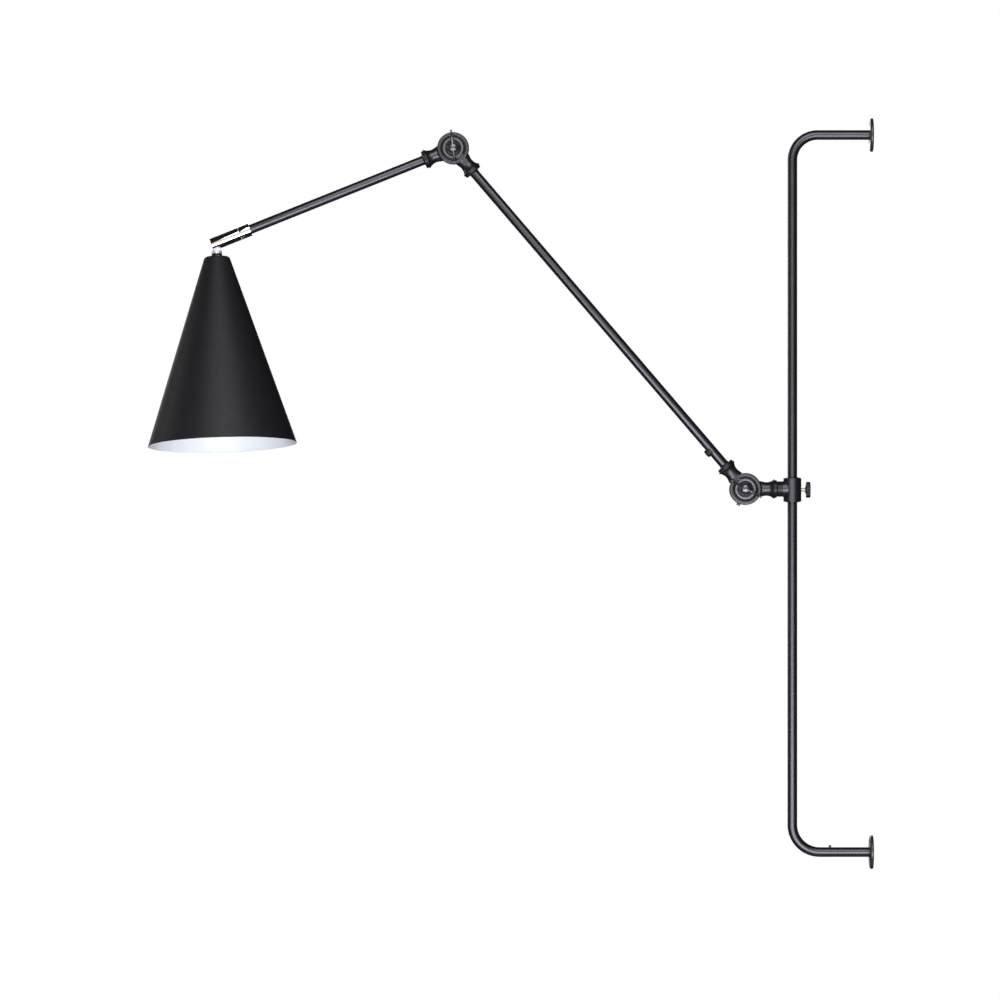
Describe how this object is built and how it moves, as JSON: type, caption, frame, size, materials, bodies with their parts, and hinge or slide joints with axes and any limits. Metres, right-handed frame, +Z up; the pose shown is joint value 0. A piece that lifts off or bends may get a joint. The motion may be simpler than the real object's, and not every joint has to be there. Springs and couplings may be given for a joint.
{
  "type": "wall lamp",
  "caption": "Wall lamp with a conical metal shade on a jointed swinging arm, carried by a clamp that slides and turns on a bent wall rail.",
  "frame": {"origin": "centre of the back face of the lower wall flange, on the wall plane", "axes": "+X into the wall, +Z up along the rail, -Y towards the pictured front"},
  "size_m": [1.0094, 0.2062, 1.047],
  "materials": {
    "satin_black": "satin black paint on steel pipe",
    "cast_black": "satin black paint on castings",
    "gloss_black_metal": "semi-gloss black enamel",
    "matt_black": "matt black outside, white inside",
    "flange_grey": "satin dark grey-brown",
    "black_plastic": "matt black",
    "nylon": "matt dark nylon",
    "fibre": "brown fibre",
    "lead_sheath": "black sheath",
    "chrome": "polished",
    "zinc_steel": "zinc plated",
    "brass": "bare brass",
    "ceramic": "glazed white",
    "bulb_cap_metal": "bare",
    "opal_glass": "opal white"
  },
  "bodies": {
    "rail": {"rail_pipe": "satin_black", "wall_flange_lower": "flange_grey", "wall_flange_upper": "flange_grey", "leg_screw": "cast_black"},
    "slide_bush": {"collar_liner": "nylon"},
    "carrier": {"rail_collar": "cast_black", "base_knuckle": "cast_black", "shoulder_bolt": "gloss_black_metal", "shoulder_friction_washer": "fibre"},
    "thumbscrew": {"thumbscrew_shaft": "brass", "thumbscrew_knob": "gloss_black_metal"},
    "upper_arm": {"lower_knuckle": "cast_black", "upper_arm_tube": "satin_black", "upper_knuckle": "cast_black", "cord_outlet_bush": "black_plastic", "upper_arm_lead": "lead_sheath", "shoulder_pressure_washer": "gloss_black_metal", "elbow_pressure_washer": "gloss_black_metal"},
    "shoulder_nut": {"shoulder_wing_nut": "gloss_black_metal"},
    "forearm": {"forearm_knuckle": "cast_black", "forearm_tube": "satin_black", "elbow_bolt": "gloss_black_metal", "elbow_friction_washer": "fibre", "swivel_sleeve": "chrome", "forearm_lead": "lead_sheath"},
    "elbow_nut": {"elbow_wing_nut": "gloss_black_metal"},
    "swivel_head": {"swivel_body": "chrome", "swivel_nut": "zinc_steel", "tilt_pin": "chrome", "swivel_lead": "lead_sheath"},
    "shade_head": {"tilt_stem": "chrome", "neck_ring": "black_plastic", "shade": "matt_black", "holder_nipple": "zinc_steel", "shade_nut": "zinc_steel", "holder_cap": "black_plastic", "holder_core": "ceramic", "holder_shell": "black_plastic", "screw_shell": "brass", "centre_contact": "brass", "bulb_cap": "bulb_cap_metal", "bulb_glass": "opal_glass", "holder_lead": "lead_sheath"}
  },
  "joints": [
    {"name": "rail_slide", "type": "slide", "parent": "rail", "child": "slide_bush", "axis": [0, 0, 1], "range_m": [-0.448, 0.439]},
    {"name": "collar_turn", "type": "hinge", "parent": "slide_bush", "child": "carrier", "pos_m": [-0.1125, 0, 0.5052], "axis": [0, 0, 1], "range_deg": [-90, 90]},
    {"name": "thumbscrew_turn", "type": "hinge", "parent": "carrier", "child": "thumbscrew", "pos_m": [-0.0932, 0, 0.5052], "axis": [1, 0, 0], "continuous": true},
    {"name": "shoulder", "type": "hinge", "parent": "carrier", "child": "upper_arm", "pos_m": [-0.1783, 0, 0.5064], "axis": [0, -1, 0], "range_deg": [-40, 80]},
    {"name": "shoulder_nut_turn", "type": "hinge", "parent": "carrier", "child": "shoulder_nut", "pos_m": [-0.1783, 0, 0.5064], "axis": [0, -1, 0], "continuous": true},
    {"name": "elbow", "type": "hinge", "parent": "upper_arm", "child": "forearm", "pos_m": [-0.58557, 0, 0.9814], "axis": [0, -1, 0], "range_deg": [-75, 45]},
    {"name": "elbow_nut_turn", "type": "hinge", "parent": "forearm", "child": "elbow_nut", "pos_m": [-0.58557, 0, 0.9814], "axis": [0, -1, 0], "continuous": true},
    {"name": "shade_swivel", "type": "hinge", "parent": "forearm", "child": "swivel_head", "pos_m": [-0.91556, 0, 0.84942], "axis": [-0.9285, 0, -0.3714], "range_deg": [-170, 170]},
    {"name": "shade_tilt", "type": "hinge", "parent": "swivel_head", "child": "shade_head", "pos_m": [-0.91556, 0, 0.84942], "axis": [-0.0362, -0.9952, 0.0906], "range_deg": [-105, 24]}
  ]
}
